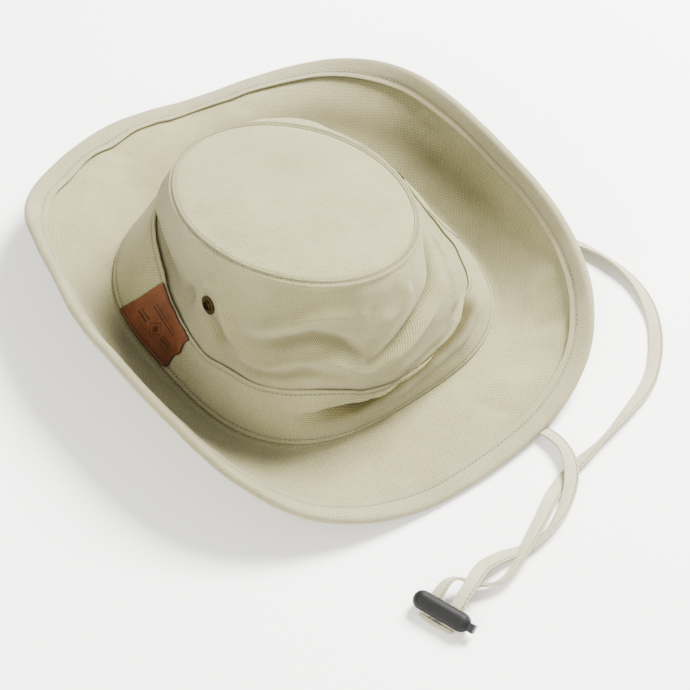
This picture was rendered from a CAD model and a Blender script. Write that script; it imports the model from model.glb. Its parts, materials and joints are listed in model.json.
import json
import math
import random
import bmesh
import bpy
import numpy as np
from mathutils import Matrix, Vector, noise


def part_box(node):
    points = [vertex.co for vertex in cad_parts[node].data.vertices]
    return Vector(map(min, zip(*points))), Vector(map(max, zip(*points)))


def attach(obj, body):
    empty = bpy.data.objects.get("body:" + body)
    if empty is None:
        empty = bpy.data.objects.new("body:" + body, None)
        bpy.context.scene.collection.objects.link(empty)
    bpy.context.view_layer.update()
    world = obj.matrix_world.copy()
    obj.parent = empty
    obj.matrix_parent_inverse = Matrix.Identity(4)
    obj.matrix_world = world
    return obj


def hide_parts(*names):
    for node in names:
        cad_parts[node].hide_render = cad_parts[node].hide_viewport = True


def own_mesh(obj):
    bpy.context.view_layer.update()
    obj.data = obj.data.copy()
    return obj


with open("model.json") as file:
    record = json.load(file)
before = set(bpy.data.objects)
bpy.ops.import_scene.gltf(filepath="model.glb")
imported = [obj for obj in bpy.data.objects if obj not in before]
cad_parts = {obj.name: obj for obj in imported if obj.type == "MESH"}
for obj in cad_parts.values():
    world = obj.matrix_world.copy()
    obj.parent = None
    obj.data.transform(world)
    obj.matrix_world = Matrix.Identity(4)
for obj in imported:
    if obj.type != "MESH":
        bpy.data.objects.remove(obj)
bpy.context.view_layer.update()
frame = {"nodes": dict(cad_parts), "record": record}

# Looks of the boonie hat. Sizes are in millimetres until a mesh is made, in the row frame: +Z up, the
# wearer faces -Y. A "turn" is an angle round the crown from +X; a "rise" is a length up the wall's
# cloth; "out" is a length along the brim's cloth from the crown seam.
MM = 0.001
TAU = 2 * math.pi
random.seed(7)
UP = np.array([0.0, 0.0, 1.0])
CROWN_CENTRE = np.array([-3.7, -0.1, 0.0])
CLOTH = 1.0
BAND_HEIGHT = 30.0
BRIM_WIDTH = 56.0
BINDING_WIDTH = 11.0
SEAM_HALF_WIDTH, SEAM_HALF_LENGTH = 96.5, 102.8
TIP_HALF_WIDTH, TIP_HALF_LENGTH = 57.0, 74.0
# Length given to the weave's pattern once round the hat, in centimetres.
GIRTH_CM = 60.0
# The seam, the tip and brim_slope hold the CAD's values. Those and the camera came from a least-squares
# fit of the hat's outline to the photograph's.


# =============================================================================================
# The hat's surfaces
# =============================================================================================
def lobe(turn, centre, spread):
    """A smooth bump of height 1 at a turn in degrees, gone beyond about twice its spread."""
    away = (turn - math.radians(centre) + math.pi) % TAU - math.pi
    return np.exp(-(away / math.radians(spread)) ** 2)


def smooth_step(value):
    value = np.clip(value, 0.0, 1.0)
    return value * value * (3 - 2 * value)


def unit(vectors):
    return vectors / np.maximum(np.linalg.norm(vectors, axis=-1, keepdims=True), 1e-12)


def in_degrees(turn):
    """The turn in degrees, from -180 up to 180."""
    return (np.degrees(turn) + 180) % 360 - 180


def oval_outward(turn, half_width, half_length):
    flat = np.stack([np.cos(turn) / half_width, np.sin(turn) / half_length, 0 * turn], -1)
    return unit(flat)


def seam(turn, out=0.0):
    """The line where the crown is sewn to the brim."""
    height = 3.35 + 5.9 * np.sin(turn) ** 2
    oval = np.stack([SEAM_HALF_WIDTH * np.cos(turn), SEAM_HALF_LENGTH * np.sin(turn), height], -1)
    moved = out - 5.0 * np.cos(4 * turn)
    return CROWN_CENTRE + oval + oval_outward(turn, SEAM_HALF_WIDTH, SEAM_HALF_LENGTH) * moved[..., None]


def tip_surface(turn, reach):
    """The top panel: an oval, fallen back and to the left, crowned towards its middle."""
    x = TIP_HALF_WIDTH * np.cos(turn) * reach
    y = TIP_HALF_LENGTH * np.sin(turn) * reach
    z = 87.95 - 0.145 * x - 0.185 * y + 5.0 * (1 - reach ** 2)
    return CROWN_CENTRE + np.stack([x - 6.7, y - 2.0, z], -1)


def wall_controls(turn):
    sunk, full, slack = lobe(turn, 172, 48), lobe(turn, -95, 50), lobe(turn, -28, 30)
    outward = oval_outward(turn, SEAM_HALF_WIDTH, SEAM_HALF_LENGTH)
    tip_outward = oval_outward(turn, TIP_HALF_WIDTH, TIP_HALF_LENGTH)
    foot = seam(turn, -1.6 + 0 * turn) + UP * 0.9
    low = foot + outward * (-8 - 14 * sunk + 12 * full - 22 * slack)[..., None]
    low = low + UP * (34 - 16 * sunk + 4 * full)[..., None]
    top = tip_surface(turn, 1.0 + 0 * turn)
    high = top + tip_outward * (5 - 2 * slack + 3 * full)[..., None] - UP * (4 + 16 * sunk)[..., None]
    return foot, low, high, top


def wall_sections(turns, steps=120):
    """Points and running lengths of the plain wall's section at each turn."""
    share = np.linspace(0, 1, steps + 1)[None, :, None]
    foot, low, high, top = (point[:, None, :] for point in wall_controls(turns))
    rest = 1 - share
    points = foot * rest ** 3 + low * 3 * rest ** 2 * share + high * 3 * rest * share ** 2 + top * share ** 3
    pieces = np.linalg.norm(np.diff(points, axis=1), axis=-1)
    lengths = np.concatenate([np.zeros((len(turns), 1)), np.cumsum(pieces, axis=1)], axis=1)
    return points, lengths


def grid_normals(grid, closed):
    """Outward normals of a grid whose first index goes round and second goes up or out."""
    if closed:
        around = np.roll(grid, -1, axis=0) - np.roll(grid, 1, axis=0)
    else:
        around = np.gradient(grid, axis=0)
    return unit(np.cross(around, np.gradient(grid, axis=1)))


# Soft folds of the crown wall: places along each (turn in degrees, rise), height, half width. The main
# ones, the band's edge and its crease were picked on the photograph by eye, turned into turns and rises
# by a scratch script, and adjusted by hand.
WALL_FOLDS = [
    ([(-156, 60), (-144, 66), (-134, 71), (-122, 76), (-106, 82)], 4.6, 5.0),
    ([(-104, 71), (-92, 77), (-84, 84), (-80, 90)], 3.6, 4.6),
    ([(-46, 88), (-60, 81), (-72, 73), (-84, 65), (-95, 57), (-106, 51)], -6.0, 2.6),
    ([(-52, 76), (-66, 68), (-80, 60), (-92, 52), (-104, 46)], 4.4, 4.2),
    ([(-150, 54), (-138, 57), (-126, 62), (-114, 61), (-106, 55)], -5.4, 4.2),
    ([(-152, 43), (-140, 44), (-130, 49), (-118, 50), (-108, 44)], 4.6, 3.6),
    ([(-158, 36), (-148, 36), (-138, 39), (-128, 42), (-116, 40)], -3.0, 2.6),
    ([(-177, 68), (-172, 57), (-166, 48), (-160, 40)], -5.0, 4.0),
    ([(-166, 80), (-163, 66), (-159, 54), (-153, 44)], 4.6, 4.2),
    ([(190, 86), (187, 76), (184, 68)], 3.0, 5.0),
    ([(178, 62), (174, 50), (170, 40)], -3.0, 5.0),
    ([(-34, 88), (-44, 74), (-53, 60), (-60, 46), (-64, 38)], -3.4, 2.4),
    ([(-44, 70), (-54, 60), (-62, 50), (-68, 43)], 3.2, 3.4),
    ([(-20, 70), (-8, 60), (6, 52), (22, 50)], -2.0, 8.0),
    ([(30, 60), (50, 48), (72, 46), (92, 52)], 2.6, 9.0),
    ([(60, 72), (80, 66), (104, 68)], -2.4, 8.0),
    ([(110, 46), (128, 52), (140, 64)], 2.0, 7.0),
]
MEAN_RADIUS = 92.0


def fold_heights(turn, rise, folds):
    """Summed heights of folds laid as lines in (turn, rise), each fading at both ends."""
    total = np.zeros(np.broadcast(turn, rise).shape)
    for places, height, half_width in folds:
        best = np.full(total.shape, 1e9)
        fade = np.zeros(total.shape)
        spans = len(places) - 1
        for span in range(spans):
            turn_a, turn_b = math.radians(places[span][0]), math.radians(places[span + 1][0])
            across = ((turn - turn_a + math.pi) % TAU - math.pi) * MEAN_RADIUS
            upward = rise - places[span][1]
            run = (turn_b - turn_a) * MEAN_RADIUS
            climb = places[span + 1][1] - places[span][1]
            along = np.clip((across * run + upward * climb) / (run * run + climb * climb), 0, 1)
            distance = np.hypot(across - along * run, upward - along * climb)
            nearer = distance < best
            best = np.where(nearer, distance, best)
            fade = np.where(nearer, (span + along) / spans, fade)
        ends = smooth_step(fade / 0.3) * smooth_step((1 - fade) / 0.3)
        total = total + height * np.exp(-(best / half_width) ** 2) * (0.25 + 0.75 * ends)
    return total


def slow_noise(points, size, seed):
    """Smooth noise from -1 to 1 over points, with features of about the given size."""
    flat = points.reshape(-1, 3) / size + seed * 17.31
    return np.array([noise.noise(Vector(point)) for point in flat]).reshape(points.shape[:-1])


# How high the hat band's upper edge comes on the plain wall, round the crown: (turn in degrees, rise).
BAND_EDGE = [
    (-180, 28.5), (-167, 27.5), (-158, 33), (-147, 33), (-136, 35), (-126, 37), (-117, 34), (-108, 25),
    (-100, 22), (-84, 23.5), (-72, 22.5), (-64, 26), (-56, 29.5), (-44, 30), (120, 30), (165, 29.5),
    (180, 28.5),
]
# Where the crease of the band's fold runs: (turn in degrees, rise of the cloth).
BAND_CREASE = [(-132, 13), (-124, 15), (-114, 17.5), (-100, 20), (-90, 22.5), (-82, 25), (-60, 26.5)]


def band_taken(turn):
    """Length of cloth that the band's fold takes up; below nothing where the band is drawn up."""
    turns, rises = zip(*BAND_EDGE)
    degrees = in_degrees(turn)
    total = 0
    for shift in (-4, -2, 0, 2, 4):
        total = total + np.interp((degrees + shift + 180) % 360 - 180, turns, rises)
    return BAND_HEIGHT - total / 5


def fold_share(degrees):
    """How far the band is folded on itself: fully over the front left, fading to both ends."""
    return smooth_step((degrees + 138) / 30) * smooth_step((-46 - degrees) / 12)


def crown_hollows(turns, rises):
    """From 0 to 1, how dark the wall is tinted: by its folds and pocket, and by the band's crease."""
    turn = turns[:, None] + 0 * rises
    degrees = in_degrees(turn)
    creases = np.clip(-fold_heights(turn, rises, WALL_FOLDS) / 5.0, 0, 1)
    pocket = lobe(turn, 140, 26) * np.exp(-((rises - 36.0) / 9.0) ** 2)
    slit = rises - np.interp(degrees, *zip(*BAND_CREASE)) + 0.4
    slit = np.exp(-(slit / 2.6) ** 2) + 0.4 * np.exp(-((slit + 3.5) / 4.0) ** 2)
    broad = np.clip(0.36 * creases + 0.45 * pocket + 0.12, 0, 0.6)
    return broad, np.clip(slit, 0, 0.96) * fold_share(degrees)


def crown_surface(turns, rises, closed=True):
    """The crown wall's outer face. turns is (n,), rises is (n, m); gives (n, m, 3)."""
    sections, lengths = wall_sections(turns)
    turn = turns[:, None]
    degrees = in_degrees(turn)
    taken = band_taken(turn)
    crease = np.interp(degrees, *zip(*BAND_CREASE))
    drawn = np.minimum(taken, 0) * np.clip(rises / BAND_HEIGHT, 0, 1)
    plain = rises - np.maximum(taken, 0) * smooth_step((rises - crease + 2.0) / 9.0) - drawn
    grid = np.empty(rises.shape + (3,))
    for row in range(len(turns)):
        stops = np.clip(plain[row], 0, lengths[row, -1])
        for axis in range(3):
            grid[row, :, axis] = np.interp(stops, lengths[row], sections[row, :, axis])
    outward = oval_outward(turn + 0 * rises, SEAM_HALF_WIDTH, SEAM_HALF_LENGTH)
    folded = fold_share(degrees)
    groove = -7.5 * np.exp(-((rises - crease - 1.6) / 2.5) ** 2)
    groove = groove - 3.0 * smooth_step((rises - crease) / 3) * smooth_step((crease + 30 - rises) / 24)
    shoulders = 1.0 * np.exp(-((rises - crease + 6.5) / 3.5) ** 2)
    shoulders = shoulders + 2.6 * np.exp(-((rises - crease - 5.0) / 2.6) ** 2)
    over_band = 1.6 * lobe(turn, -108, 50) * np.exp(-((rises - 37.0) / 5.5) ** 2)
    hollow = 14.0 * lobe(turn, 142, 26) * np.exp(-((rises - 35.0) / 16.0) ** 2)
    grid = grid + outward * (over_band + (groove + shoulders) * folded - hollow)[..., None]
    normal = grid_normals(grid, closed)
    share = rises / wall_height(turns)[:, None]
    top_fade = smooth_step((1 - share) / 0.1)
    foot_fade = smooth_step(rises / 14.0)
    ripple = 1.3 * slow_noise(grid, 24.0, 1) + 0.55 * slow_noise(grid, 11.0, 2)
    swell = fold_heights(turn + 0 * rises, rises, WALL_FOLDS)
    return grid + normal * ((swell + ripple * foot_fade) * top_fade)[..., None]


def wall_height(turns):
    """Length of the wall's cloth, with what the band's fold takes up."""
    return wall_sections(turns)[1][:, -1] + band_taken(turns)


# Soft creases of the brim: places along each (turn in degrees, out), height, half width.
BRIM_FOLDS = [
    ([(-78, 16), (-76, 30), (-73, 48)], -1.0, 3.0),
    ([(-70, 14), (-66, 30), (-63, 50)], 1.1, 5.0),
    ([(-52, 18), (-50, 32), (-46, 50)], -1.2, 4.0),
    ([(-44, 12), (-40, 30), (-38, 48)], 1.2, 5.5),
    ([(-112, 22), (-108, 36), (-106, 52)], 0.9, 6.0),
    ([(60, 26), (66, 36), (70, 52)], -0.8, 3.5),
    ([(84, 30), (87, 40), (88, 54)], 0.9, 3.5),
    ([(98, 24), (101, 38), (103, 53)], -1.0, 3.2),
    ([(110, 30), (113, 42), (114, 54)], 0.9, 3.5),
    ([(34, 12), (20, 18), (0, 20), (-18, 18)], -1.4, 9.0),
]
# Where the right side of the brim lies deepest in its curl: places, depth of the shade, half width.
BRIM_HOLLOWS = [
    ([(100, 12), (75, 15), (50, 18), (25, 20), (0, 20), (-30, 24)], 0.6, 13.0),
    ([(150, 6), (175, 5), (200, 5)], 0.15, 6.0),
]


def brim_slope(turn):
    """How steeply the brim curls up at each turn, in radians."""
    degrees = (
        42.6 - 8.0 * np.cos(turn) + 32.0 * np.cos(2 * turn) - 20.1 * np.sin(2 * turn)
        - 2.5 * np.sin(3 * turn) + 2.3 * np.cos(3 * turn) + 7.5 * np.sin(4 * turn) - 5.4 * np.cos(4 * turn)
        - 31.2 * lobe(turn, 120.3, 19.5) - 36.2 * lobe(turn, -61.2, 23.4)
    )
    return np.radians(degrees)


def brim_surface(turns, outs):
    """The brim's upper face. turns is (n,), outs is (m,) starting at or below 0; gives (n, m, 3)."""
    turn = turns[:, None]
    steps = np.linspace(0, max(outs[-1], 1.0), 141)
    easing = np.clip(steps / 5.0, 0, 1)
    easing = easing * easing * (3 - 2 * easing)
    angle = brim_slope(turn) * ((0.5 + 0.5 * steps / BRIM_WIDTH) * easing)[None, :]
    middle = (angle[:, 1:] + angle[:, :-1]) / 2
    step = steps[1] - steps[0]
    reach = np.concatenate([np.zeros((len(turns), 1)), np.cumsum(np.cos(middle), axis=1) * step], axis=1)
    climb = np.concatenate([np.zeros((len(turns), 1)), np.cumsum(np.sin(middle), axis=1) * step], axis=1)
    reach_at = np.stack([np.interp(outs, steps, row) for row in reach])
    climb_at = np.stack([np.interp(outs, steps, row) for row in climb])
    reach_at = np.where(outs[None, :] < 0, outs[None, :], reach_at)
    base = seam(turn + 0 * reach_at, 0 * reach_at)
    outward = oval_outward(turn + 0 * reach_at, SEAM_HALF_WIDTH, SEAM_HALF_LENGTH)
    grid = base + outward * reach_at[..., None] + UP * climb_at[..., None]
    normal = -grid_normals(grid, True)
    share = np.clip(outs / BRIM_WIDTH, 0, 1)[None, :]
    ripple = 1.3 * slow_noise(grid, 48.0, 3) + 0.45 * slow_noise(grid, 17.0, 4)
    creases = fold_heights(turn + 0 * reach_at, outs[None, :] + 0 * turn, BRIM_FOLDS)
    return grid + normal * ((ripple + creases) * smooth_step(share * 2.2))[..., None]


# =============================================================================================
# Meshes
# =============================================================================================
# No point of a mesh lies closer to the floor than this, in millimetres.
FLOOR_GAP = 0.15


def make_object(name, points, faces, material, body="hat", uv=None, rows=None, tint=None, smooth=True):
    """A mesh object from millimetre points. uv, rows and tint are per point."""
    mesh = bpy.data.meshes.new(name)
    resting = np.array(points, dtype=float)
    resting[:, 2] = np.maximum(resting[:, 2], FLOOR_GAP)
    mesh.from_pydata((resting * MM).tolist(), [], faces)
    corners = np.empty(len(mesh.loops), dtype=np.int64)
    mesh.loops.foreach_get("vertex_index", corners)
    for layer_name, values in (("cloth", uv), ("rows", rows)):
        if values is not None:
            layer = mesh.uv_layers.new(name=layer_name)
            layer.data.foreach_set("uv", np.asarray(values, dtype=np.float32)[corners].ravel())
    if tint is not None:
        shade = mesh.attributes.new("tint", "FLOAT", "POINT")
        shade.data.foreach_set("value", np.asarray(tint, dtype=np.float32))
    mesh.polygons.foreach_set("use_smooth", [smooth] * len(mesh.polygons))
    mesh.materials.append(material)
    mesh.update()
    thing = bpy.data.objects.new(name, mesh)
    bpy.context.scene.collection.objects.link(thing)
    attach(thing, body)
    return thing


def tube_faces(columns, around, closed):
    """Faces of a grid of loops: each column is a loop of points, joined to the next column."""
    faces = []
    spans = columns if closed else columns - 1
    for column in range(spans):
        here, there = column * around, ((column + 1) % columns) * around
        for point in range(around):
            after = (point + 1) % around
            faces.append((here + point, there + point, there + after, here + after))
    if not closed:
        last = (columns - 1) * around
        for point in range(around // 2 - 1):
            mate, mate_after = around - 1 - point, around - 2 - point
            faces.append((point, point + 1, mate_after, mate))
            faces.append((last + point, last + mate, last + mate_after, last + point + 1))
    return faces


def sheet_object(name, outer, inner, material, closed, uv, body="hat", rows=None, tint=None):
    """A sheet of cloth between two grids, with rounded folded edges. uv is (n, m, 2) in cm."""
    thick = np.linalg.norm(outer - inner, axis=-1, keepdims=True)
    start_out = unit(outer[:, :1] - outer[:, 1:2]) * thick[:, :1] * 0.45
    end_out = unit(outer[:, -1:] - outer[:, -2:-1]) * thick[:, -1:] * 0.45
    start = (outer[:, :1] + inner[:, :1]) / 2 + start_out
    end = (outer[:, -1:] + inner[:, -1:]) / 2 + end_out
    loops = np.concatenate([start, outer, end, inner[:, ::-1]], axis=1)
    columns, around = loops.shape[:2]

    def looped(values, rim=0.0):
        step = np.array([0.0, rim]) if values.shape[-1] == 2 else 0.0
        return np.concatenate([values[:, :1] - step, values, values[:, -1:] + step, values[:, ::-1]], axis=1)

    faces = tube_faces(columns, around, closed)
    if not closed:
        faces = [face for face in faces if len(set(face)) == 4]
    points = loops.reshape(-1, 3)
    flat_uv = looped(uv, 0.07).reshape(-1, 2)
    flat_rows = None if rows is None else looped(rows).reshape(-1, 2)
    flat_tint = None if tint is None else looped(tint[..., None]).reshape(-1)
    thing = make_object(name, points, faces, material, body, flat_uv, flat_rows, flat_tint)
    if closed:
        mend_wrap(thing, columns, around)
    return thing


def mend_wrap(thing, columns, around):
    """The last span of a closed grid runs on to the full girth instead of back to nought."""
    mesh = thing.data
    corners = np.empty(len(mesh.loops), dtype=np.int64)
    mesh.loops.foreach_get("vertex_index", corners)
    column = corners // around
    starts = np.empty(len(mesh.polygons), dtype=np.int64)
    totals = np.empty(len(mesh.polygons), dtype=np.int64)
    mesh.polygons.foreach_get("loop_start", starts)
    mesh.polygons.foreach_get("loop_total", totals)
    face_of = np.repeat(np.arange(len(starts)), totals)
    has_last = np.zeros(len(starts), dtype=bool)
    np.logical_or.at(has_last, face_of, column == columns - 1)
    wraps = has_last[face_of] & (column == 0)
    for layer in mesh.uv_layers:
        values = np.empty(len(corners) * 2, dtype=np.float32)
        layer.data.foreach_get("uv", values)
        values = values.reshape(-1, 2)
        values[wraps, 0] += thing["girth_cm"] if "girth_cm" in thing else GIRTH_CM
        layer.data.foreach_set("uv", values.ravel())


RING = np.linspace(0, TAU, 600, endpoint=False)


def cloth_uv(along, up):
    """UVs in centimetres from two arrays in millimetres."""
    along, up = np.broadcast_arrays(along, up)
    return np.stack([along, up], -1) / 10


def ring_along(turns):
    return (turns / TAU * GIRTH_CM * 10)[:, None]


# =============================================================================================
# Materials
# =============================================================================================
class Graph:
    """Short names for building a material's nodes."""

    def __init__(self, name):
        self.material = bpy.data.materials.new(name)
        self.material.use_nodes = True
        self.tree = self.material.node_tree
        self.shader = self.tree.nodes["Principled BSDF"]

    def node(self, kind, inputs=None, **settings):
        made = self.tree.nodes.new(kind)
        for key, value in settings.items():
            setattr(made, key, value)
        for key, value in (inputs or {}).items():
            self.feed(made.inputs[key], value)
        return made

    def feed(self, socket, value):
        if isinstance(value, bpy.types.NodeSocket):
            self.tree.links.new(value, socket)
        else:
            socket.default_value = value

    def math(self, operation, first, second=0.0, third=0.0, clamp=False):
        made = self.node("ShaderNodeMath", operation=operation, use_clamp=clamp)
        for socket, value in zip(made.inputs, (first, second, third)):
            self.feed(socket, value)
        return made.outputs[0]

    def colour_mix(self, share, first, second, blend="MIX"):
        made = self.node("ShaderNodeMix", data_type="RGBA", blend_type=blend)
        for socket, value in zip((made.inputs[0], made.inputs[6], made.inputs[7]), (share, first, second)):
            self.feed(socket, value)
        return made.outputs[2]

    def noise(self, where, scale, detail=2.0, roughness=0.5):
        made = self.node(
            "ShaderNodeTexNoise", {"Vector": where, "Scale": scale, "Detail": detail, "Roughness": roughness})
        return made.outputs["Fac"]

    def spread(self, value, low, high, out_low=0.0, out_high=1.0):
        made = self.node("ShaderNodeMapRange", {
            "Value": value, "From Min": low, "From Max": high, "To Min": out_low, "To Max": out_high})
        return made.outputs[0]

    def object_place(self):
        return self.node("ShaderNodeTexCoord").outputs["Object"]

    def uv(self, name):
        made = self.node("ShaderNodeUVMap", uv_map=name)
        split = self.node("ShaderNodeSeparateXYZ", {0: made.outputs[0]})
        return made.outputs[0], split.outputs[0], split.outputs[1]

    def bump(self, height, strength, distance, normal=None):
        made = self.node("ShaderNodeBump", {"Height": height, "Strength": strength, "Distance": distance})
        if normal is not None:
            self.feed(made.inputs["Normal"], normal)
        return made.outputs[0]

    def finish(self, colour, roughness, normal, **constants):
        self.feed(self.shader.inputs["Base Color"], colour)
        self.feed(self.shader.inputs["Roughness"], roughness)
        self.feed(self.shader.inputs["Normal"], normal)
        for key, value in constants.items():
            self.shader.inputs[key.replace("_", " ")].default_value = value
        return self.material


def rgb(red, green, blue):
    """A colour picked in display values, as the linear colour the shader needs."""
    def linear(value):
        value = value / 255
        return value / 12.92 if value <= 0.04045 else ((value + 0.055) / 1.055) ** 2.4
    return (linear(red), linear(green), linear(blue), 1.0)


def woven(name, light, dark, pitch=0.64, turned=False, depth=0.0003, stitched=True, shadow=0.35):
    """Plain-weave canvas: over and under threads, slubs, needle holes along the stitch rows."""
    g = Graph(name)
    place, u, v = g.uv("cloth")
    if turned:
        u, v = g.math("ADD", u, v), g.math("SUBTRACT", u, v)
        pitch = pitch * math.sqrt(2)
    wander = g.noise(place, 2.2, 3.0)
    wander_fine = g.noise(place, 9.0, 2.0)
    sway = g.math("MULTIPLY_ADD", wander, 0.05, g.math("MULTIPLY", wander_fine, 0.02))
    u = g.math("ADD", u, sway)
    v = g.math("SUBTRACT", v, sway)
    beat = math.pi / (pitch / 10)
    warp = g.math("SINE", g.math("MULTIPLY", u, beat))
    weft = g.math("SINE", g.math("MULTIPLY", v, beat))
    over = g.math("GREATER_THAN", g.math("MULTIPLY", warp, weft), 0.0)
    warp_dome, weft_dome = g.math("ABSOLUTE", warp), g.math("ABSOLUTE", weft)
    warp_float = g.math("MULTIPLY", warp_dome, g.math("POWER", weft_dome, 0.45))
    weft_float = g.math("MULTIPLY", weft_dome, g.math("POWER", warp_dome, 0.45))
    height = g.math("ADD", g.math("MULTIPLY", over, warp_float),
                    g.math("MULTIPLY", g.math("SUBTRACT", 1.0, over), g.math("MULTIPLY", weft_float, 0.82)))

    joined = g.node("ShaderNodeCombineXYZ", {0: g.math("MULTIPLY", u, 14.0), 1: g.math("MULTIPLY", v, 1.2)})
    crossed = g.node("ShaderNodeCombineXYZ", {0: g.math("MULTIPLY", u, 1.2), 1: g.math("MULTIPLY", v, 14.0)})
    warp_slub = g.noise(joined.outputs[0], 1.1, 2.0)
    weft_slub = g.noise(crossed.outputs[0], 1.1, 2.0)
    slub = g.math("ADD", g.math("MULTIPLY", over, warp_slub),
                  g.math("MULTIPLY", g.math("SUBTRACT", 1.0, over), weft_slub))
    cloudy = g.noise(g.object_place(), 22.0, 3.0, 0.6)
    fleck = g.noise(place, 60.0, 1.0)

    tone = g.math("MULTIPLY_ADD", height, 0.85, g.math("MULTIPLY_ADD", over, 0.42, -0.2))
    tone = g.math("ADD", tone, g.math("MULTIPLY_ADD", slub, 0.5, -0.25))
    tone = g.math("ADD", tone, g.math("MULTIPLY_ADD", cloudy, 0.5, -0.25))
    tone = g.math("ADD", tone, g.math("MULTIPLY_ADD", fleck, 0.24, -0.12), clamp=True)
    colour = g.colour_mix(tone, dark, light)
    height = g.math("MULTIPLY_ADD", slub, 0.35, height)
    if stitched:
        _, along, away = g.uv("rows")
        near = g.spread(g.math("ABSOLUTE", away), 0.0, 0.11, 1.0, 0.0)
        pace = g.math("SUBTRACT", g.math("FRACT", g.math("DIVIDE", along, 0.25)), 0.5)
        pace = g.math("MULTIPLY", g.math("ABSOLUTE", pace), 0.25)
        from_hole = g.node("ShaderNodeCombineXYZ", {0: pace, 1: away}).outputs[0]
        from_hole = g.node("ShaderNodeVectorMath", {0: from_hole}, operation="LENGTH").outputs["Value"]
        hole = g.spread(from_hole, 0.02, 0.055, 1.0, 0.0)
        mark = g.math("MAXIMUM", g.math("MULTIPLY", near, shadow * 0.6), g.math("MULTIPLY", hole, 0.92))
        colour = g.colour_mix(mark, colour, (dark[0] * 0.22, dark[1] * 0.2, dark[2] * 0.15, 1))
        height = g.math("SUBTRACT", height, g.math("MULTIPLY_ADD", near, 2.2, g.math("MULTIPLY", hole, 2.0)))
    sunk = g.node("ShaderNodeAttribute", attribute_name="tint").outputs["Fac"]
    colour = g.colour_mix(sunk, colour, (dark[0] * 0.5, dark[1] * 0.45, dark[2] * 0.25, 1))
    roughness = g.spread(slub, 0.0, 1.0, 0.82, 0.95)
    return g.finish(colour, roughness, g.bump(height, 0.85, depth),
                    Sheen_Weight=0.12, Sheen_Roughness=0.5, Specular_IOR_Level=0.25)


def thread_material(name, light, dark):
    """Twisted sewing thread: fine diagonal ply lines."""
    g = Graph(name)
    place, u, v = g.uv("cloth")
    ply = g.math("SINE", g.math("MULTIPLY_ADD", u, 90.0, g.math("MULTIPLY", v, 6.283)))
    tone = g.math("MULTIPLY_ADD", ply, 0.3, g.noise(place, 14.0, 2.0), clamp=True)
    return g.finish(g.colour_mix(tone, dark, light), g.spread(tone, 0, 1, 0.7, 0.5),
                    g.bump(ply, 0.4, 0.00006), Sheen_Weight=0.1)


def leather_material():
    """Waxed leather: pores, creases, a burnished dark cut edge and a pressed darker mark."""
    g = Graph("leather_brown")
    place, u, v = g.uv("cloth")
    spot = g.object_place()
    pores = g.node("ShaderNodeTexVoronoi", {"Vector": place, "Scale": 22.0, "Randomness": 1.0})
    creases = g.node("ShaderNodeTexVoronoi", {"Vector": place, "Scale": 5.5}, feature="DISTANCE_TO_EDGE")
    grain = g.noise(place, 40.0, 5.0, 0.65)
    cloudy = g.noise(spot, 70.0, 4.0, 0.6)
    tone = g.math("MULTIPLY_ADD", cloudy, 0.9, g.math("MULTIPLY_ADD", grain, 0.35, -0.2), clamp=True)
    colour = g.colour_mix(tone, (0.024, 0.008, 0.0034, 1), (0.19, 0.06, 0.025, 1))
    edge = g.node("ShaderNodeAttribute", attribute_name="tint").outputs["Fac"]
    colour = g.colour_mix(g.math("MULTIPLY", edge, 0.86), colour, (0.003, 0.0016, 0.0012, 1))
    height = g.math("MULTIPLY_ADD", pores.outputs["Distance"], 0.5, g.math("MULTIPLY", grain, 0.8))
    height = g.math("ADD", height, g.spread(creases.outputs["Distance"], 0.0, 0.06, 0.0, 0.5))
    return g.finish(colour, g.spread(tone, 0, 1, 0.52, 0.36), g.bump(height, 0.5, 0.00012),
                    Specular_IOR_Level=0.22)


def metal_material(name, light, dark, wear=0.5):
    """Antiqued metal: dark patina worn bright on the high spots, with fine scratches."""
    g = Graph(name)
    spot = g.object_place()
    patina = g.noise(spot, 420.0, 4.0, 0.6)
    scratch = g.noise(spot, 2600.0, 2.0)
    tone = g.spread(g.math("MULTIPLY_ADD", scratch, 0.35, patina), 0.55, 0.95)
    return g.finish(g.colour_mix(tone, dark, light), g.spread(tone, 0, 1, 0.5, 0.25),
                    g.bump(g.math("ADD", patina, scratch), 0.25, 0.00005), Metallic=wear)


def plastic_material(name, light, dark, roughness):
    """Moulded plastic with a fine spark-eroded texture and faint handling marks."""
    g = Graph(name)
    spot = g.object_place()
    texture = g.noise(spot, 2200.0, 3.0, 0.6)
    handling = g.noise(spot, 130.0, 3.0)
    tone = g.math("MULTIPLY_ADD", texture, 0.5, g.math("MULTIPLY", handling, 0.5), clamp=True)
    worn = g.spread(handling, 0.3, 0.7, roughness, roughness + 0.14)
    return g.finish(g.colour_mix(tone, dark, light), worn,
                    g.bump(texture, 0.5, 0.00005), Specular_IOR_Level=0.2)


CANVAS_LIGHT, CANVAS_DARK = (0.47, 0.44, 0.245, 1), (0.095, 0.084, 0.022, 1)
canvas = woven("canvas_khaki", CANVAS_LIGHT, CANVAS_DARK)
bias_canvas = woven("canvas_bias", (0.45, 0.42, 0.265, 1), (0.105, 0.092, 0.032, 1), turned=True)
lining = woven("sweatband_cotton", (0.34, 0.28, 0.16, 1), (0.12, 0.09, 0.04, 1), pitch=0.4)
stiffener = woven("interlining_white", (0.6, 0.58, 0.52, 1), (0.4, 0.38, 0.33, 1), pitch=0.5, stitched=False)
tape_canvas = woven("tape_cream", (0.66, 0.635, 0.46, 1), (0.25, 0.225, 0.125, 1), pitch=0.6)
khaki_thread = thread_material("thread_khaki", (0.3, 0.26, 0.14, 1), (0.1, 0.08, 0.035, 1))
brown_thread = thread_material("thread_brown", rgb(70, 36, 26), rgb(28, 14, 11))
leather = leather_material()
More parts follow.
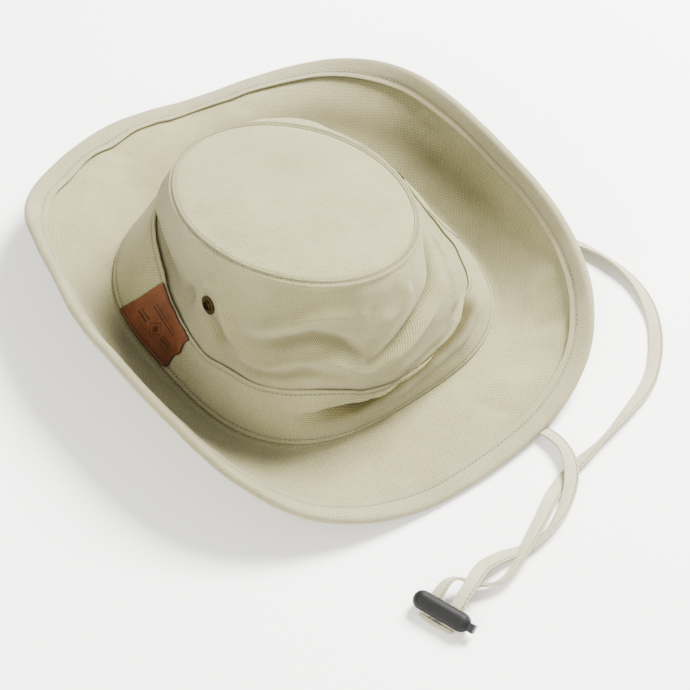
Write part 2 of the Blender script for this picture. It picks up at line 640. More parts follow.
bronze = metal_material("eyelet_bronze", (0.2, 0.14, 0.065, 1), (0.022, 0.015, 0.008, 1), 0.9)
steel = metal_material("spring_steel", rgb(200, 200, 204), rgb(120, 120, 124), 1.0)
lock_plastic = plastic_material("lock_plastic", (0.0075, 0.008, 0.0085, 1), (0.0035, 0.0037, 0.004, 1), 0.5)
plunger_plastic = plastic_material(
    "plunger_plastic", (0.018, 0.019, 0.021, 1), (0.008, 0.0085, 0.009, 1), 0.42)


# =============================================================================================
# Stitches
# =============================================================================================
def stitch_row(name, points, normals, material, pitch=2.5, length=1.95, radius=0.24, closed=True, body="hat"):
    """Separate stitches along a line of points, each a short thread that dives in at both ends."""
    points, normals = np.asarray(points), np.asarray(normals)
    if closed:
        points = np.concatenate([points, points[:1]])
        normals = np.concatenate([normals, normals[:1]])
    run = np.concatenate([[0], np.cumsum(np.linalg.norm(np.diff(points, axis=0), axis=1))])
    count = int(run[-1] / pitch)
    pitch = run[-1] / count
    sides, rings = 6, 7
    verts, uvs, faces = [], [], []
    for index in range(count):
        middle = (index + 0.5) * pitch
        first = len(verts)
        for ring in range(rings):
            share = ring / (rings - 1)
            at = middle + (share - 0.5) * length
            centre = np.array([np.interp(at, run, points[:, axis]) for axis in range(3)])
            normal = unit(np.array([np.interp(at, run, normals[:, axis]) for axis in range(3)]))
            ahead = np.array([np.interp(at + 0.2, run, points[:, axis]) for axis in range(3)])
            side = unit(np.cross(normal, ahead - centre))
            arch = math.sin(math.pi * share)
            centre = centre + normal * (radius * 1.5 * arch ** 0.6 - radius * 0.9)
            girth = radius * (0.55 + 0.45 * arch)
            for corner in range(sides):
                angle = TAU * corner / sides
                verts.append(centre + side * math.cos(angle) * girth + normal * math.sin(angle) * girth)
                uvs.append((at / 10, corner / sides))
        for ring in range(rings - 1):
            for corner in range(sides):
                low, high = first + ring * sides, first + (ring + 1) * sides
                after = (corner + 1) % sides
                faces.append((low + corner, high + corner, high + after, low + after))
        faces.append(tuple(first + corner for corner in range(sides)))
        last = first + (rings - 1) * sides
        faces.append(tuple(last + corner for corner in reversed(range(sides))))
    return make_object(name, verts, faces, material, body, uvs)


# =============================================================================================
# Crown: wall, tip, hat band, sweatband
# =============================================================================================
def hat_eyelet_places():
    """Centre and outward axis of each eyelet, from the record's mounts."""
    places = {}
    for mount in frame["record"]["mounts"]:
        if mount["name"].startswith("eyelet_"):
            side = mount["name"].split("_")[1]
            places[side] = (np.array(mount["pos_m"]) / MM, np.array(mount["axis"]))
    return places


EYELETS = hat_eyelet_places()


def settle(grid):
    """Each eyelet clamps the cloth flat under its flange; round it the cloth puckers in a little."""
    moved = grid.copy()
    for centre, axis in EYELETS.values():
        away = grid - centre
        depth = away @ axis
        aside = np.linalg.norm(away - depth[..., None] * axis, axis=-1)
        share = smooth_step((15.0 - aside) / 9.0) * (np.abs(depth) < 16)
        level = -0.06 - 0.9 * smooth_step((aside - 4.6) / 2.5)
        moved = moved + axis * ((level - depth) * share)[..., None]
    return moved


def build_wall():
    """The crown's side, with a raised welt below the seam of the top panel."""
    heights = wall_height(RING)
    shares = np.concatenate([np.linspace(0, 0.93, 90), np.linspace(0.935, 1, 22)])
    rises = heights[:, None] * shares[None, :]
    face = settle(crown_surface(RING, rises))
    normals = grid_normals(face, True)
    from_seam = heights[:, None] - rises
    welt = 1.15 * np.exp(-((from_seam - 2.6) / 1.3) ** 2) - 0.5 * np.exp(-((from_seam - 0.5) / 0.6) ** 2)
    face = face + normals * welt[..., None]
    inner = face - grid_normals(face, True) * CLOTH
    uv = cloth_uv(ring_along(RING), rises)
    rows = cloth_uv(ring_along(RING), heights[:, None] - 1.0 - rises)
    wall = sheet_object("crown_wall_cloth", face, inner, canvas, True, uv, rows=rows,
                        tint=crown_hollows(RING, rises)[0])
    open_eyelet_holes(wall)
    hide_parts("crown_wall")
    column = int(np.abs(shares - 0.99).argmin())
    line, line_normals = face[:, column], grid_normals(face, True)[:, column]
    stitches = stitch_row("tip_seam_stitches", line, line_normals, khaki_thread)
    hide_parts("tip_stitching")
    return face


def open_eyelet_holes(wall):
    """Cut the two round holes under the eyelets out of the wall."""
    mesh = bmesh.new()
    mesh.from_mesh(wall.data)
    doomed = []
    for face in mesh.faces:
        middle = np.array(face.calc_center_median()) / MM
        for centre, axis in EYELETS.values():
            away = middle - centre
            depth = away @ axis
            if abs(depth) < 8 and np.linalg.norm(away - depth * axis) < 2.7:
                doomed.append(face)
                break
    bmesh.ops.delete(mesh, geom=doomed, context="FACES")
    mesh.to_mesh(wall.data)
    mesh.free()


def build_tip():
    """The oval top panel, crowned, with soft hollows; its edge dips into the seam."""
    reaches = np.concatenate([[0.0], np.linspace(0.04, 0.93, 44), np.linspace(0.94, 1.0, 8)])
    turn, reach = np.meshgrid(RING[::2], reaches[1:], indexing="ij")
    face = tip_surface(turn, reach * 0.992)
    hollow = -1.5 * np.exp(-(((face[..., 0] + 40) / 26) ** 2 + ((face[..., 1] + 30) / 30) ** 2))
    ridge_line = (face[..., 0] + 8) * 0.55 + (face[..., 1] + 6) * 0.84
    ridge = 0.9 * np.exp(-(ridge_line / 9) ** 2)
    fade = smooth_step((1 - reach) / 0.25)
    bumps = 1.1 * slow_noise(face, 34.0, 5) + 0.3 * slow_noise(face, 12.0, 6)
    edge = -0.9 * smooth_step((reach - 0.955) / 0.045)
    face = face + UP * ((hollow + ridge + bumps) * fade + edge)[..., None]
    middle = face[:, 0].mean(axis=0)
    columns, rows_count = face.shape[:2]
    top = np.concatenate([[middle], face.reshape(-1, 3)])
    bottom = top - UP * CLOTH
    faces = []
    for column in range(columns):
        after = (column + 1) % columns
        start, start_after = 1 + column * rows_count, 1 + after * rows_count
        faces.append((0, start, start_after))
        for row in range(rows_count - 1):
            faces.append((start + row, start + row + 1, start_after + row + 1, start_after + row))
    size = len(top)
    under = [tuple(size + corner for corner in reversed(face)) for face in faces]
    rim = []
    for column in range(columns):
        outer = (column + 1) * rows_count
        outer_after = ((column + 1) % columns + 1) * rows_count
        rim.append((outer, size + outer, size + outer_after, outer_after))
    points = np.concatenate([top, bottom])
    spread = points[:, :2] / 10
    edge_away = np.concatenate([[9.0], ((1 - reach) * 65 / 10).reshape(-1)])
    row_uv = np.stack([np.zeros(size * 2), np.concatenate([edge_away, edge_away]) + 0.5], -1)
    tip = make_object("crown_tip_cloth", points, faces + under + rim, canvas, "hat", spread, row_uv)
    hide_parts("crown_tip")


BAND_JOINT = math.radians(-14)
BAND_LAP = 9.0
# The band's two rows of stitches lie this far in from its lower and its upper edge.
LOWER_ROW, UPPER_ROW = 2.4, 2.2


def band_offset(turn, rise):
    """How far the band's inner face stands off the wall, and its waves."""
    flare = 2.4 * lobe(turn, 152, 28) * (rise / BAND_HEIGHT) ** 2
    waves = 0.5 * np.sin(turn * 9 + 1.0) * smooth_step((rise - 16) / 14) * lobe(turn, -150, 40)
    return 0.35 + flare + waves


def band_surface(turns, rises, lift=0.0, closed=True):
    above = np.concatenate([rises, [rises[-1] + 3]])[None, :] + 0 * turns[:, None]
    wall = crown_surface(turns, above, closed)
    normals = grid_normals(wall, closed)
    wall, normals = wall[:, :-1], normals[:, :-1]
    off = band_offset(turns[:, None], rises[None, :]) + lift
    return wall + normals * off[..., None], normals


LABEL_START, LABEL_END = math.radians(151), math.radians(177)
LABEL_RADIUS, LABEL_RISE, LABEL_STITCH_INSET = 96.0, 15.2, 1.9


def build_band():
    """The hat band with its hems, its two rows of stitches and its joint."""
    rises = np.linspace(0.2, BAND_HEIGHT, 84)
    inner, normals = band_surface(RING, rises)
    sag = 0.5 * slow_noise(inner, 15.0, 8)
    sag = sag * (smooth_step(rises / 9) * smooth_step((29 - rises) / 6))[None, :]
    groove = 0.35 * np.exp(-((rises - LOWER_ROW) / 0.7) ** 2)
    groove = groove + 0.35 * np.exp(-((rises - BAND_HEIGHT + UPPER_ROW) / 0.7) ** 2)
    hem = 0.12 * smooth_step((rises - 26.6) / 1.2) + 0.12 * smooth_step((3.4 - rises) / 1.2)
    outer = inner + normals * (CLOTH + 0.2 + sag + hem - groove)[..., None]
    inner = inner + normals * (sag * 0.8)[..., None]
    uv = cloth_uv(ring_along(RING), rises[None, :])
    nearest = np.where(rises < BAND_HEIGHT / 2, rises - LOWER_ROW, BAND_HEIGHT - UPPER_ROW - rises)
    rows = cloth_uv(ring_along(RING), nearest[None, :])
    band = sheet_object("hat_band_cloth", outer, inner, canvas, True, uv, rows=rows,
                        tint=crown_hollows(RING, rises[None, :] + 0 * RING[:, None])[1])
    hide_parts("hat_band")
    outer_normals = grid_normals(outer, True)
    shown = np.argsort((RING - LABEL_END) % TAU)
    shown = shown[((RING[shown] - LABEL_END) % TAU) < TAU - (LABEL_END - LABEL_START)]
    for name, node, rise in (
            ("band_lower_stitches", "band_lower_stitching", LOWER_ROW),
            ("band_upper_stitches", "band_upper_stitching", BAND_HEIGHT - UPPER_ROW)):
        row = int(np.abs(rises - rise).argmin())
        stitches = stitch_row(
            name, outer[shown, row], outer_normals[shown, row], khaki_thread, closed=False)
        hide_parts(node)
    build_band_joint()


def build_band_joint():
    """The end of the band laps over its start and is sewn down."""
    turns = BAND_JOINT + np.linspace(0, BAND_LAP / MEAN_RADIUS, 12)
    rises = np.linspace(0.2, BAND_HEIGHT, 34)
    inner, normals = band_surface(turns, rises, CLOTH + 0.2, closed=False)
    outer = inner + normals * 0.7
    uv = cloth_uv((turns * MEAN_RADIUS)[:, None], rises[None, :])
    rows = cloth_uv(rises[None, :], ((turns - turns[0]) * MEAN_RADIUS)[:, None] - 2.0)
    lap = sheet_object("hat_band_lap", outer, inner, canvas, False, uv, rows=rows)


def label_mark(along, across):
    """Depth from 0 to 1 of the pressed mark: a diamond in a diamond between rules, over small dots."""
    size = np.abs(along) + np.abs(across - 2.0)
    diamond = smooth_step((2.6 - size) / 0.5) + smooth_step((0.45 - np.abs(size - 4.6)) / 0.3)
    rules = np.zeros(np.broadcast(along, across).shape)
    for height, inner, outer, half in (
            (3.6, 7.0, 15.5, 0.55), (1.6, 7.0, 15.5, 0.3), (-4.6, 0.0, 12.5, 0.35), (-6.6, 0.0, 12.5, 0.22)):
        level = smooth_step((half + 0.25 - np.abs(across - height)) / 0.3)
        span = smooth_step((outer - np.abs(along)) / 0.4) * smooth_step((np.abs(along) - inner + 0.4) / 0.4)
        rules = np.maximum(rules, level * span)
    dot_along = (along + 1.0) % 2.0 - 1.0
    dots = smooth_step((0.55 - np.hypot(dot_along, across - 6.6)) / 0.25) * (np.abs(along) < 13)
    return np.clip(diamond + rules + dots, 0, 1)


def build_label():
    """Leather label on the wearer's right of the band, its long edges sewn, its ends loose."""
    spans = np.linspace(-1, 1, 150)
    levels = np.linspace(-1, 1, 100)
    half_long, half_tall, corner = 22.3, 14.6, 2.2
    across = levels * half_tall
    near_edge = np.clip(np.abs(across) - (half_tall - corner), 0, corner)
    inset = corner - np.sqrt(np.maximum(corner ** 2 - near_edge ** 2, 0))
    wavy = 0.9 * np.sin(across * 0.42 + 0.8) * smooth_step(np.abs(half_tall - np.abs(across)) / 3)
    along = spans[:, None] * (half_long - inset)[None, :] + wavy[None, :] * smooth_step(spans)[:, None]
    middle_turn = (LABEL_START + LABEL_END) / 2
    turns = middle_turn + (along + 5.5 + 0.3 * across[None, :]) / LABEL_RADIUS
    rises = LABEL_RISE + across
    base = np.empty(along.shape + (3,))
    normal = np.empty(along.shape + (3,))
    knots = np.linspace(turns.min() - 0.02, turns.max() + 0.02, 90)
    rows = np.concatenate([rises, [rises[-1] + 1.0]])
    highest = BAND_HEIGHT - 0.1
    surface, surface_normals = band_surface(knots, np.minimum(rows, highest), CLOTH + 0.35, closed=False)
    for level in range(len(levels)):
        for axis in range(3):
            base[:, level, axis] = np.interp(turns[:, level], knots, surface[:, level, axis])
            normal[:, level, axis] = np.interp(turns[:, level], knots, surface_normals[:, level, axis])
    normal = unit(normal)
    beyond = np.maximum(rises - highest, 0)
    base = base + UP * beyond[None, :, None]
    mark = label_mark(along, across[None, :] * -1)
    edge_gap = np.minimum(half_long - inset[None, :] - np.abs(spans[:, None]) * (half_long - inset)[None, :],
                          half_tall - np.abs(across)[None, :])
    round_over = 0.45 * (1 - smooth_step(edge_gap / 0.9))
    sewn = 0.35 * np.exp(-((np.abs(across) - half_tall + LABEL_STITCH_INSET) / 0.5) ** 2)[None, :]
    curl = 1.3 * smooth_step((spans - 0.55) / 0.45)[:, None] * np.exp(-((across - 4) / 7) ** 2)[None, :]
    curl = curl + 0.8 * smooth_step((-spans - 0.6) / 0.4)[:, None]
    height = 1.35 + curl - round_over - sewn - 0.14 * mark
    outer = base + normal * height[..., None]
    inner = base + normal * (0.1 + curl)[..., None]
    tint = np.maximum(0.75 * mark, 0.9 * (1 - smooth_step(edge_gap / 0.5)))
    label = sheet_object("leather_label_piece", outer[::-1], inner[::-1], leather, False,
                         cloth_uv(along, across[None, :])[::-1], tint=tint[::-1])
    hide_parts("leather_label")
    row_height = half_tall - LABEL_STITCH_INSET
    for name, rise in (("label_upper_stitches", row_height), ("label_lower_stitches", -row_height)):
        level = int(np.abs(across - rise).argmin())
        stitches = stitch_row(name, outer[4:-4, level], normal[4:-4, level], brown_thread,
                              pitch=2.6, length=2.0, radius=0.22, closed=False)
        if rise > 0:
            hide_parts("label_stitching")


def build_sweatband():
    """The cotton band inside the crown, stitched near its upper edge."""
    rises = np.linspace(0.0, 28.0, 30)
    sewn = 27
    wall = crown_surface(RING, rises[None, :] + 0 * RING[:, None])
    normals = grid_normals(wall, True)
    outer = wall - normals * (CLOTH + 0.5)
    inner = outer - normals * 0.9
    uv = cloth_uv(ring_along(RING), rises[None, :])
    rows = cloth_uv(ring_along(RING), (26.0 - rises)[None, :])
    sweatband = sheet_object("sweatband_cloth", outer, inner, lining, True, uv, rows=rows)
    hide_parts("sweatband")
    normals = -grid_normals(inner, True)[:, sewn]
    stitch = stitch_row("sweatband_stitches", inner[:, sewn], normals, khaki_thread)


# =============================================================================================
# Brim: three plies and the binding
# =============================================================================================
OUTS = np.concatenate([[-2.4, -1.2], np.linspace(0, BRIM_WIDTH, 52)])
BRIM_RING = np.linspace(0, TAU, 720, endpoint=False)
BRIM = brim_surface(BRIM_RING, OUTS)
BRIM_NORMALS = -grid_normals(BRIM, True)
BRIM_TURNS, BRIM_OUTS = np.meshgrid(BRIM_RING, OUTS, indexing="ij")


def brim_layer(depth):
    """The brim's upper face sunk by a depth."""
    return BRIM - BRIM_NORMALS * depth


def brim_line(outs):
    """Points and unit normals of the upper face, one on each turn; outs is one number or one a turn."""
    spots = np.empty((len(BRIM_RING), 3))
    normals = np.empty((len(BRIM_RING), 3))
    for row, out in enumerate(np.broadcast_to(outs, len(BRIM_RING))):
        for axis in range(3):
            spots[row, axis] = np.interp(out, OUTS, BRIM[row, :, axis])
            normals[row, axis] = np.interp(out, OUTS, BRIM_NORMALS[row, :, axis])
    return spots, unit(normals)


def build_plies():
    outward = oval_outward(BRIM_TURNS, SEAM_HALF_WIDTH, SEAM_HALF_LENGTH)
    flat = seam(BRIM_TURNS, 0 * BRIM_OUTS) + outward * BRIM_OUTS[..., None]
    uv = flat[..., :2] / 10
    rows = cloth_uv(ring_along(BRIM_RING), OUTS[None, :] + 90)
    sunk = fold_heights(BRIM_TURNS, BRIM_OUTS, BRIM_HOLLOWS)
    for name, node, material, slot, top, bottom in (
            ("brim_upper_cloth", "brim_upper_ply", canvas, "canvas", 0.0, 0.95),
            ("brim_interlining_sheet", "brim_interlining", stiffener, "interlining", 1.0, 1.8),
            ("brim_lower_cloth", "brim_lower_ply", canvas, "canvas", 1.85, 2.8)):
        faces = (brim_layer(top), brim_layer(bottom))
        ply = sheet_object(name, *faces, material, True, uv, rows=rows, tint=sunk)
        unwrap_brim(ply)
        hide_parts(node)


def unwrap_brim(ply):
    """The brim is cut flat in one piece, so its weave needs no wrap at the grid's last span."""
    mesh = ply.data
    layer = mesh.uv_layers["cloth"]
    values = np.empty(len(mesh.loops) * 2, dtype=np.float32)
    layer.data.foreach_get("uv", values)
    values = values.reshape(-1, 2)
    values[values[:, 0] > 35, 0] -= GIRTH_CM
    layer.data.foreach_set("uv", values.ravel())


# Where the binding is stitched through: share of its width from its loose edge.
SEWN_SHARE = 0.335


def build_binding():
    """A folded strip round the brim's edge, stitched through, its inner edge a little loose."""
    stack, gap = 2.8, 0.12
    turn = BRIM_RING
    lift = 0.35 + 0.9 * lobe(turn, 108, 30) * (0.6 + 0.4 * np.sin(turn * 31)) + 0.25 * lobe(turn, -20, 60)
    wave = 0.8 * lobe(turn, 105, 34) * np.sin(turn * 24 + 0.7) + 0.25 * np.sin(turn * 17)
    loose = BRIM_WIDTH - BINDING_WIDTH + wave
    top_stops = [(0.0, 1.0), (0.08, 1.0), (0.2, 0.85), (0.29, 0.2), (SEWN_SHARE, -0.25), (0.38, 0.2), (0.5, 0.6),
                 (0.65, 0.65), (0.8, 0.55), (0.93, 0.3), (1.0, 0.05)]
    low_stops = [(1.0, 0.05), (0.9, 0.3), (0.7, 0.45), (0.5, 0.4), (0.38, 0.15), (SEWN_SHARE, -0.25), (0.29, 0.15),
                 (0.15, 0.4), (0.0, 0.45)]
    sewn = top_stops.index((SEWN_SHARE, -0.25))
    lines, distances = [], []

    def ring_line(share, off):
        spots, normals = brim_line(loose + (BRIM_WIDTH - loose) * share)
        return spots + normals * np.asarray(off)[:, None]

    def add_line(line, distance):
        lines.append(line)
        distances.append(distance)

    for share, puff in top_stops:
        off = gap + CLOTH * 0.95 + puff * 0.45 + lift * max(0.0, 1 - share / 0.25)
        add_line(ring_line(share, off), (share - SEWN_SHARE) * BINDING_WIDTH)
    edge = ring_line(1.0, -stack / 2 + 0 * turn)
    outward = unit(edge - ring_line(0.95, -stack / 2 + 0 * turn))
    for angle in (60, 35, 10, -15, -40, -65):
        swing = math.radians(angle)
        normal = BRIM_NORMALS[:, -1]
        radius = stack / 2 + gap + CLOTH * 0.95
        nose = edge + outward * (math.cos(swing) * 1.9) + normal * (math.sin(swing) * radius)
        add_line(nose, 8.0)
    for share, puff in low_stops:
        off = -stack - gap - CLOTH * 0.95 - puff * 0.4 + 0 * turn
        add_line(ring_line(share, off), (share - SEWN_SHARE) * BINDING_WIDTH)
    for share in (0.0, 0.3, 0.7, 1.0):
        add_line(ring_line(share, -stack - gap + 0 * turn), 8.0)
    add_line(edge + outward * 0.9, 8.0)
    for share in (1.0, 0.7, 0.3, 0.0):
        off = gap + lift * 0.9 * max(0.0, 1 - share / 0.25)
        add_line(ring_line(share, off + 0 * turn), 8.0)
    loops = np.stack(lines, axis=1)
    columns, around = loops.shape[:2]
    strip = np.concatenate([[0], np.cumsum(np.linalg.norm(np.diff(loops.mean(axis=0), axis=0), axis=1))])
    girth = np.zeros((columns, around)) + ring_along(turn) * 1.5
    width = np.concatenate([[0], np.cumsum(np.linalg.norm(np.diff(loops[0], axis=0), axis=1))])
    uv = cloth_uv(girth, width[None, :])
    rows = cloth_uv(girth, np.array(distances)[None, :])
    faces = tube_faces(columns, around, True)
    binding = make_object("brim_binding_cloth", loops.reshape(-1, 3), faces, bias_canvas, "hat",
                          uv.reshape(-1, 2), rows.reshape(-1, 2))
    binding["girth_cm"] = GIRTH_CM * 1.5
    mend_wrap(binding, columns, around)
    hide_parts("brim_binding")
    normals = brim_line(BRIM_WIDTH - BINDING_WIDTH * (1 - SEWN_SHARE))[1]
    stitches = stitch_row("binding_stitches", loops[:, sewn], normals, khaki_thread, length=1.8)
    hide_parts("binding_stitching")


# =============================================================================================
# Chin tape: two flat strands, their sewn anchors and their folded end
# =============================================================================================
LOCK_CENTRE = Vector((-0.0747, -0.2071, 0.0060))
LOCK_HEADING, LOCK_TILT = math.radians(-73.1), math.radians(35.0)
LOCK_ALONG = Vector((math.cos(LOCK_HEADING), math.sin(LOCK_HEADING), 0.0))
LOCK_TOWARDS = Vector((
    -math.sin(LOCK_HEADING) * math.cos(LOCK_TILT), math.cos(LOCK_HEADING) * math.cos(LOCK_TILT),
    math.sin(LOCK_TILT)))
LOCK_UP = LOCK_ALONG.cross(LOCK_TOWARDS)


def from_crown(x, y, z):
    """A point in metres from the crown's middle on the floor."""
    return Vector((x - 0.0037, y - 0.0001, z))


def in_lock(along, towards_hat, up=0.0):
    """A point of the lock's own frame, in metres."""
    return LOCK_CENTRE + LOCK_ALONG * along + LOCK_TOWARDS * towards_hat + LOCK_UP * up


# The routes were picked on the photograph by eye, turned into places by a scratch script, and adjusted
# by hand.
LEFT_ROUTE = [
    from_crown(0.105, -0.0126, 0.0023), from_crown(0.118, -0.0266, 0.0014), from_crown(0.134, -0.050, 0.0026),
    from_crown(0.147, -0.080, 0.0042), from_crown(0.149, -0.108, 0.0026), from_crown(0.138, -0.135, 0.0013),
    from_crown(0.112, -0.161, 0.0024), from_crown(0.084, -0.170, 0.0039), from_crown(0.060, -0.176, 0.0026),
    from_crown(0.040, -0.1785, 0.0013), from_crown(0.024, -0.183, 0.0016), from_crown(0.006, -0.194, 0.0050),
    from_crown(-0.014, -0.204, 0.0052), from_crown(-0.030, -0.2115, 0.0040),
    from_crown(-0.045, -0.2085, 0.0046), from_crown(-0.055, -0.197, 0.0120),
    in_lock(-0.00625, 0.009), in_lock(-0.00625, -0.0056),
]
RIGHT_ROUTE = [
    from_crown(-0.0765, -0.0046, 0.0075), from_crown(-0.060, -0.0136, 0.0015),
    from_crown(-0.0342, -0.0296, 0.0011), from_crown(-0.0062, -0.0596, 0.0011),
    from_crown(0.0148, -0.0946, 0.0011), from_crown(0.031, -0.124, 0.0013), from_crown(0.043, -0.148, 0.0034),
    from_crown(0.045, -0.166, 0.0056), from_crown(0.038, -0.181, 0.0058), from_crown(0.026, -0.192, 0.0032),
    from_crown(0.008, -0.2015, 0.0012), from_crown(-0.008, -0.2035, 0.0011),
    from_crown(-0.022, -0.1995, 0.0030), from_crown(-0.038, -0.1995, 0.0080),
    from_crown(-0.050, -0.206, 0.0130), in_lock(0.00625, 0.009), in_lock(0.00625, -0.0056),
]
# How far each strand is turned about its own line: (share of its length, degrees).
LEFT_ROLL = [(0, 0), (0.12, 0), (0.21, -62), (0.28, -25), (0.36, 0), (0.46, 8), (0.53, 30), (0.58, 62),
             (0.63, 30), (0.68, 0), (0.74, -8), (0.8, 30), (0.86, 60), (0.92, 66), (0.965, 15), (1, 0)]
RIGHT_ROLL = [(0, 0), (0.52, 0), (0.57, -35), (0.63, -10), (0.7, 25), (0.76, 55), (0.82, 15), (0.88, -8),
              (0.94, 0), (1, 0)]
TAPE_WIDTH, TAPE_THICKNESS = 0.0075, 0.0016


def spline_points(name, route):
    """Points along the smooth line that a strand follows, in metres."""
    line = bpy.data.curves.new(name, "CURVE")
    line.dimensions = "3D"
    line.resolution_u = 16
    spline = line.splines.new("NURBS")
    spline.points.add(len(route) - 1)
    for point, place in zip(spline.points, route):
        point.co = (*place, 1.0)
    spline.order_u = 3
    spline.use_endpoint_u = True
    holder = bpy.data.objects.new(name, line)
    mesh = bpy.data.meshes.new_from_object(holder)
    points = np.array([vertex.co for vertex in mesh.vertices], dtype=float)
    bpy.data.objects.remove(holder)
    bpy.data.curves.remove(line)
    bpy.data.meshes.remove(mesh)
    return points


def even_points(points, step):
    run = np.concatenate([[0], np.cumsum(np.linalg.norm(np.diff(points, axis=0), axis=1))])
    stops = np.linspace(0, run[-1], int(run[-1] / step) + 1)
    return np.stack([np.interp(stops, run, points[:, axis]) for axis in range(3)], -1), stops


def tape_section():
    """A strip folded double: the outline of its section as (across, up) shares, and its length."""
    outline = []
    for across, up in (
            (-1.0, 0.0), (-0.985, 0.55), (-0.93, 0.9), (-0.8, 1.0), (-0.62, 0.82), (-0.45, 0.93), (-0.15, 1.0),
            (0.15, 1.0), (0.45, 0.97), (0.6, 0.86), (0.72, 0.72), (0.84, 0.92), (0.95, 0.8), (1.0, 0.45),
            (0.965, 0.06), (0.86, 0.0), (0.965, -0.06), (1.0, -0.45), (0.95, -0.8), (0.84, -0.92),
            (0.72, -0.72), (0.6, -0.86), (0.45, -0.97), (0.15, -1.0), (-0.15, -1.0), (-0.45, -0.93),
            (-0.62, -0.82), (-0.8, -1.0), (-0.93, -0.9), (-0.985, -0.55)):
        outline.append((across, up))
    return np.array(outline)


def ribbon(name, points, stops, rolls, material, body, seed):
    """A flat tape along points in metres, turned about its line, its section as tape_section gives it."""
    tangent = unit(np.gradient(points, axis=0))
    side = unit(np.cross(UP[None, :] + 0 * tangent, tangent))
    up = np.cross(tangent, side)
    shares, degrees = zip(*rolls)
    share = stops / stops[-1]
    shifts = (-0.03, -0.015, 0, 0.015, 0.03)
    angle = np.radians(sum(np.interp(share + shift, shares, degrees) for shift in shifts) / len(shifts))
    angle = angle + math.radians(5) * np.sin(stops * 90 + seed)
    angle = angle * smooth_step((1 - share) / 0.03)
    across = side * np.cos(angle)[:, None] + up * np.sin(angle)[:, None]
    normal = np.cross(tangent, across)
    outline = tape_section()
    width = TAPE_WIDTH / 2 * (1 + 0.03 * np.sin(stops * 210 + seed * 2))
    loops = (points[:, None, :]
             + across[:, None, :] * (outline[None, :, 0] * width[:, None])[..., None]
             + normal[:, None, :] * (outline[None, :, 1] * TAPE_THICKNESS / 2)[..., None])
    lowest = loops[..., 2].min(axis=1)
    lift = np.maximum(0.0003 - lowest, 0)
    kernel = np.ones(9) / 9
    lift = np.convolve(np.pad(lift, 4, mode="edge"), kernel, mode="valid")
    loops[..., 2] += lift[:, None]
    around = len(outline)
    faces = tube_faces(len(points), around, False)
    faces = [face for face in faces if len(set(face)) == 4]
    flat = np.concatenate([[0], np.cumsum(np.linalg.norm(np.diff(outline * (3.75, 0.8), axis=0), axis=1))])
    uv = cloth_uv(stops[:, None] * 1000, flat[None, :])
    rows = cloth_uv(stops[:, None] * 1000, (outline[None, :, 0] * 3.75 - 2.7))
    strand = make_object(name, loops.reshape(-1, 3) / MM, faces, material, body, uv.reshape(-1, 2),
                         rows.reshape(-1, 2))
    edge = loops[:, 10] / MM
    stitches = stitch_row(name + "_stitches", edge[6:-10], normal[6:-10], khaki_thread,
                          pitch=2.4, length=1.8, radius=0.17, closed=False)
    return strand, stitches, points + np.array([[0, 0, 1]]) * lift[:, None]


def slab(name, box, material, node, inset=0.0):
    """A folded tab of tape filling a node's box, with rounded sides and a slit where it is doubled."""
    low, high = (np.array(corner) / MM for corner in box)
    middle, half = (low + high) / 2, (high - low) / 2 - inset
    ring = [(math.cos(angle), math.sin(angle)) for angle in np.linspace(0, TAU, 24, endpoint=False)]
    loops = []
    for level, share in ((-1, 0.9), (-0.8, 1.0), (-0.15, 1.0), (0.0, 0.95), (0.15, 1.0), (0.8, 1.0), (1, 0.9)):
        loop = []
        for x, y in ring:
            square = max(abs(x), abs(y)) ** 0.75
            loop.append(middle + np.array([x / square * half[0], y / square * half[1], 0]) * share
                        + UP * level * half[2])
        loops.append(loop)
    points = np.array(loops).reshape(-1, 3)
    faces = []
    for level in range(len(loops) - 1):
        for corner in range(24):
            after = (corner + 1) % 24
            faces.append((level * 24 + corner, level * 24 + after, (level + 1) * 24 + after,
                          (level + 1) * 24 + corner))
    faces.append(tuple(reversed(range(24))))
    faces.append(tuple(range((len(loops) - 1) * 24, len(loops) * 24)))
    uv = points[:, :2] / 10
    thing = make_object(name, points, faces, material, "hat", uv, uv * 0 + 3.0)
    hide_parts(node)
    return thing


def build_tape():
    anchors = {
        "left": slab("tape_anchor_left_tab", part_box("tape_anchor_left"), tape_canvas, "tape_anchor_left"),
        "right": slab("tape_anchor_right_tab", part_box("tape_anchor_right"), tape_canvas,
                      "tape_anchor_right"),
    }
    end = build_tape_end()
    for seed, side, route, rolls, node in (
            (1, "left", LEFT_ROUTE, LEFT_ROLL, "chin_tape_left"),
            (2, "right", RIGHT_ROUTE, RIGHT_ROLL, "chin_tape_right")):
        points, stops = even_points(spline_points(node + "_line", route), 0.0012)
        strand, stitches, line = ribbon(node + "_strand", points, stops, rolls, tape_canvas, "hat", seed)
        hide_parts(node)


